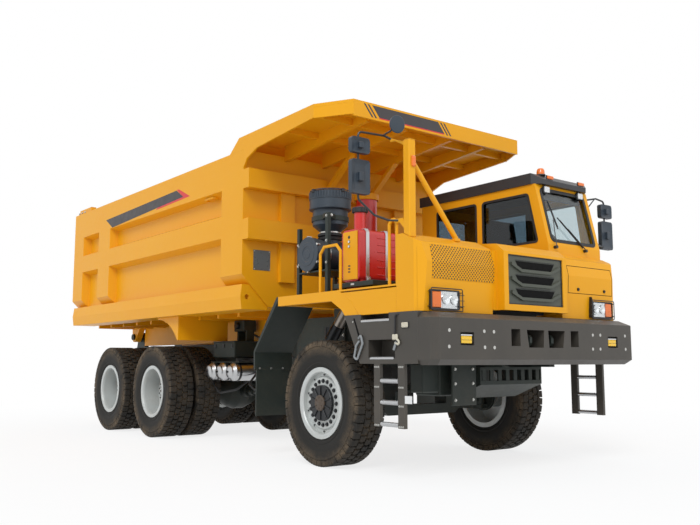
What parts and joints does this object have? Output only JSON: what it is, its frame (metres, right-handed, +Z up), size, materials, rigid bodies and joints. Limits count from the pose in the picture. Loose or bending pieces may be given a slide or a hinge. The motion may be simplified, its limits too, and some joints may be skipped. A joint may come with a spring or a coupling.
{
  "type": "mining dump truck",
  "caption": "Wide-body mining dump truck with an offset cab, tipping tub, canopy, tailgate, front hoist, steering and rolling wheels.",
  "frame": {"origin": "on the ground, under the middle of the truck's box", "axes": "+X forward, +Y to the truck's left, +Z up"},
  "size_m": [10.37, 4.46, 4.412],
  "materials": {
    "yellow": "worn gloss paint",
    "chassis_green": "satin dark green-grey paint, dusty",
    "dark_grey": "satin dark grey paint",
    "roof_black": "satin black",
    "tank_red": "gloss red paint",
    "cylinder_steel": "hard chrome rods",
    "glass": "tinted glass",
    "filter_blue": "dark blue-black paint",
    "tank_silver": "bare metal",
    "lamp": "clear lamp glass",
    "tyre": "dusty black rubber",
    "rim_grey": "silver-grey paint"
  },
  "bodies": {
    "root": {"chassis_frame": "chassis_green", "engine_block": "dark_grey", "drive_shafts": "chassis_green", "front_axle": "chassis_green", "rear_axles": "chassis_green", "springs": "chassis_green", "bumper": "dark_grey", "radiator_guard": "chassis_green", "radiator": "dark_grey", "step_boxes": "chassis_green", "decks": "yellow", "mud_panels": "dark_grey", "nose_boxes": "yellow", "hood": "yellow", "grille": "dark_grey", "headlamps": "lamp", "cab": "yellow", "cab_roof": "roof_black", "cab_glass": "glass", "cab_interior": "dark_grey", "fuel_tank": "tank_red", "air_cleaner": "filter_blue", "filter_stand": "chassis_green", "mirrors": "yellow", "handrails": "yellow", "air_tanks": "tank_silver", "battery_box": "chassis_green", "exhaust": "tank_silver"},
    "dump_body": {"tub_floor": "yellow", "tub_side_right": "yellow", "tub_side_left": "yellow", "tub_front_wall": "yellow", "canopy": "yellow", "rock_guards": "yellow"},
    "tailgate": {"tailgate": "yellow"},
    "cab_door": {"cab_door": "yellow", "door_glass": "glass"},
    "hoist_tube": {"hoist_tube": "tank_red"},
    "hoist_stage_1": {"hoist_stage_1": "cylinder_steel"},
    "hoist_stage_2": {"hoist_stage_2": "cylinder_steel"},
    "hoist_stage_3": {"hoist_stage_3": "cylinder_steel"},
    "hoist_stage_4": {"hoist_stage_4": "cylinder_steel"},
    "knuckle_right": {"knuckle_right": "chassis_green"},
    "wheel_front_right": {"tyre_front_right": "tyre", "rim_front_right": "rim_grey"},
    "wheels_middle_right": {"tyres_middle_right": "tyre", "rims_middle_right": "rim_grey"},
    "wheels_rear_right": {"tyres_rear_right": "tyre", "rims_rear_right": "rim_grey"},
    "knuckle_left": {"knuckle_left": "chassis_green"},
    "wheel_front_left": {"tyre_front_left": "tyre", "rim_front_left": "rim_grey"},
    "wheels_middle_left": {"tyres_middle_left": "tyre", "rims_middle_left": "rim_grey"},
    "wheels_rear_left": {"tyres_rear_left": "tyre", "rims_rear_left": "rim_grey"}
  },
  "joints": [
    {"name": "dump_tilt", "type": "hinge", "parent": "root", "child": "dump_body", "pos_m": [-4.83, 0, 1.74], "axis": [0, -1, 0], "range_deg": [0, 45]},
    {"name": "tailgate_swing", "type": "hinge", "parent": "dump_body", "child": "tailgate", "pos_m": [-5.1, 0, 4.24], "axis": [0, 1, 0], "range_deg": [0, 60]},
    {"name": "door_swing", "type": "hinge", "parent": "root", "child": "cab_door", "pos_m": [4.6, 1.706, 2.5], "axis": [0, 0, -1], "range_deg": [0, 60]},
    {"name": "hoist_swing", "type": "hinge", "parent": "dump_body", "child": "hoist_tube", "pos_m": [1.99, 0, 2.74], "axis": [0, -1, 0], "range_deg": [-22, 0]},
    {"name": "steer_right", "type": "hinge", "parent": "root", "child": "knuckle_right", "pos_m": [3.07, -1.13, 0.75], "axis": [0, 0, 1], "range_deg": [-32, 32]},
    {"name": "steer_left", "type": "hinge", "parent": "root", "child": "knuckle_left", "pos_m": [3.07, 1.13, 0.75], "axis": [0, 0, 1], "range_deg": [-32, 32]},
    {"name": "hoist_slide_1", "type": "slide", "parent": "hoist_tube", "child": "hoist_stage_1", "axis": [0, 0, -1], "range_m": [0, 1.28]},
    {"name": "hoist_slide_2", "type": "slide", "parent": "hoist_stage_1", "child": "hoist_stage_2", "axis": [0, 0, -1], "range_m": [0, 1.28]},
    {"name": "hoist_slide_3", "type": "slide", "parent": "hoist_stage_2", "child": "hoist_stage_3", "axis": [0, 0, -1], "range_m": [0, 1.28]},
    {"name": "hoist_slide_4", "type": "slide", "parent": "hoist_stage_3", "child": "hoist_stage_4", "axis": [0, 0, -1], "range_m": [0, 1.28]},
    {"name": "roll_front_right", "type": "hinge", "parent": "knuckle_right", "child": "wheel_front_right", "pos_m": [3.07, -1.4225, 0.75], "axis": [0, 1, 0], "continuous": true},
    {"name": "roll_middle_right", "type": "hinge", "parent": "root", "child": "wheels_middle_right", "pos_m": [-1.685, -1.1725, 0.75], "axis": [0, 1, 0], "continuous": true},
    {"name": "roll_rear_right", "type": "hinge", "parent": "root", "child": "wheels_rear_right", "pos_m": [-3.505, -1.1725, 0.75], "axis": [0, 1, 0], "continuous": true},
    {"name": "roll_front_left", "type": "hinge", "parent": "knuckle_left", "child": "wheel_front_left", "pos_m": [3.07, 1.4225, 0.75], "axis": [0, 1, 0], "continuous": true},
    {"name": "roll_middle_left", "type": "hinge", "parent": "root", "child": "wheels_middle_left", "pos_m": [-1.685, 1.1725, 0.75], "axis": [0, 1, 0], "continuous": true},
    {"name": "roll_rear_left", "type": "hinge", "parent": "root", "child": "wheels_rear_left", "pos_m": [-3.505, 1.1725, 0.75], "axis": [0, 1, 0], "continuous": true}
  ],
  "couplings": [
    {"joint": "hoist_swing", "follows": "dump_tilt", "ratio": -0.4813},
    {"joint": "steer_left", "follows": "steer_right", "ratio": 1},
    {"joint": "hoist_slide_1", "follows": "dump_tilt", "m_per_rad": 1.6196},
    {"joint": "hoist_slide_2", "follows": "dump_tilt", "m_per_rad": 1.6196},
    {"joint": "hoist_slide_3", "follows": "dump_tilt", "m_per_rad": 1.6196},
    {"joint": "hoist_slide_4", "follows": "dump_tilt", "m_per_rad": 1.6196}
  ]
}
